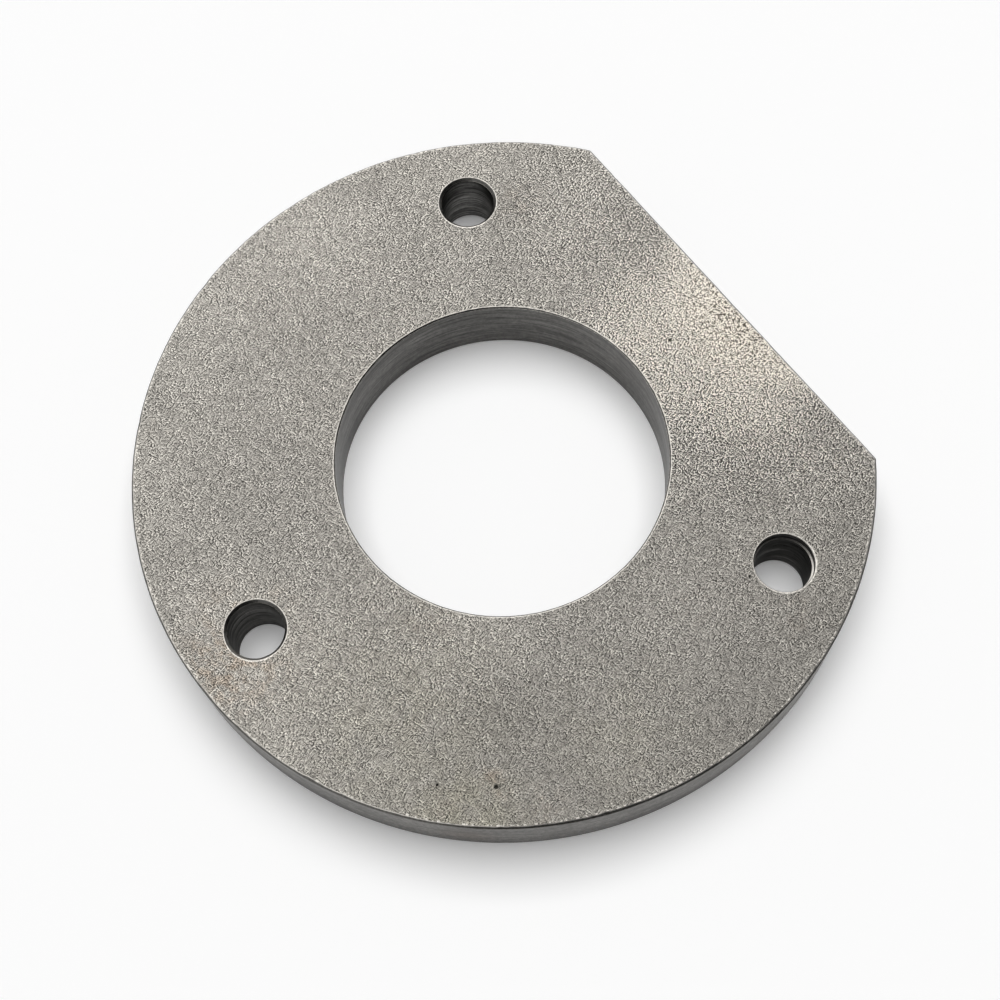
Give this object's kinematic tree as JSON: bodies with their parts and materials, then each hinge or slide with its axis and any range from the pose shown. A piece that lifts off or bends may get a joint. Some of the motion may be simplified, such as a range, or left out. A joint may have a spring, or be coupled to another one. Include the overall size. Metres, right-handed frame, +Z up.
{
  "type": "shim",
  "caption": "Thick round steel shim plate with a central bore, bolt holes on a circle around it and one side cut to a flat.",
  "frame": {"origin": "centre of the bore at the plate's lower face", "axes": "+Z up along the bore axis, +Y out through the flat cut on the rim, the bolt hole opposite the flat lies towards -Y"},
  "size_m": [0.127, 0.1135, 0.0127],
  "materials": {
    "steel_plate": "matt grey steel with fine-grained rolled faces, turned edge and bore, faint brown tints and bright broken edges"
  },
  "bodies": {
    "root": {"shim_plate": "steel_plate"}
  },
  "joints": []
}
